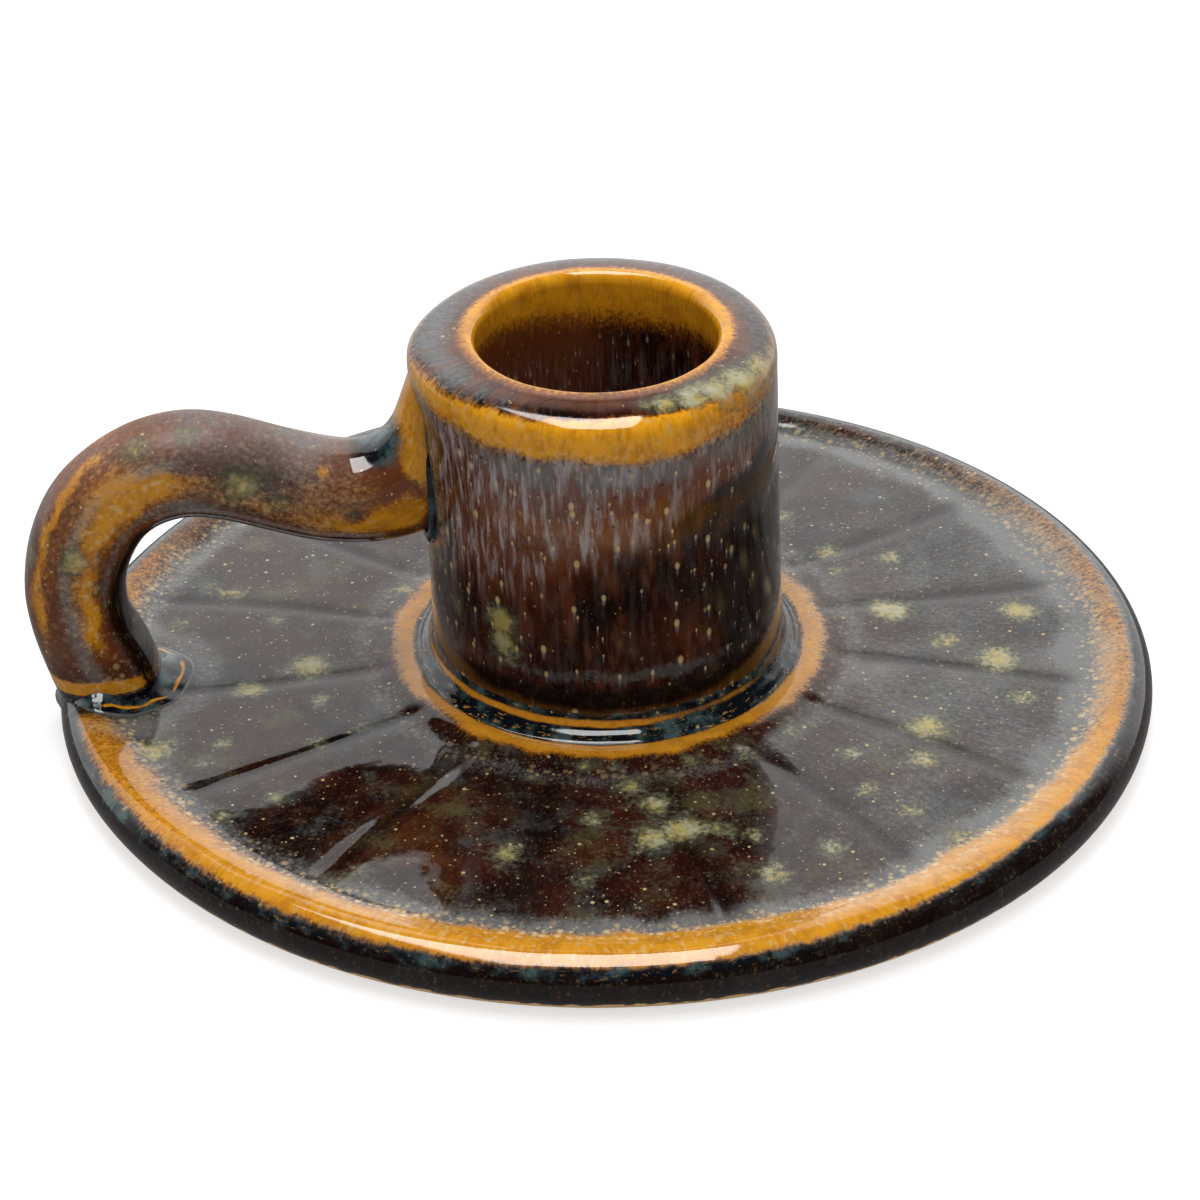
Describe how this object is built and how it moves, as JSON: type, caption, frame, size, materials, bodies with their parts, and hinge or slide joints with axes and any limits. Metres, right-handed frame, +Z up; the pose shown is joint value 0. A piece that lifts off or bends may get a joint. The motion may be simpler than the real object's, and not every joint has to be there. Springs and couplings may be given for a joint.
{
  "type": "chamberstick with finger loop",
  "caption": "Glazed stoneware chamberstick: a round dish with a beaded rim, an upright candle socket and a thick finger loop from socket to rim.",
  "frame": {"origin": "centre of the dish's flat underside, on the candle's axis", "axes": "+Z up along the candle's axis; the finger loop points along -X"},
  "size_m": [0.1106, 0.108, 0.0392],
  "materials": {
    "brown_glaze": "glossy red-brown stoneware glaze that breaks to amber on edges",
    "pooled_glaze": "glossy blue-black glaze pooled over the slip in the joints"
  },
  "bodies": {
    "root": {"dish": "brown_glaze", "candle_socket": "brown_glaze", "finger_loop": "brown_glaze", "socket_slip": "pooled_glaze", "loop_wall_slip": "pooled_glaze", "loop_foot_slip": "pooled_glaze"}
  },
  "joints": []
}
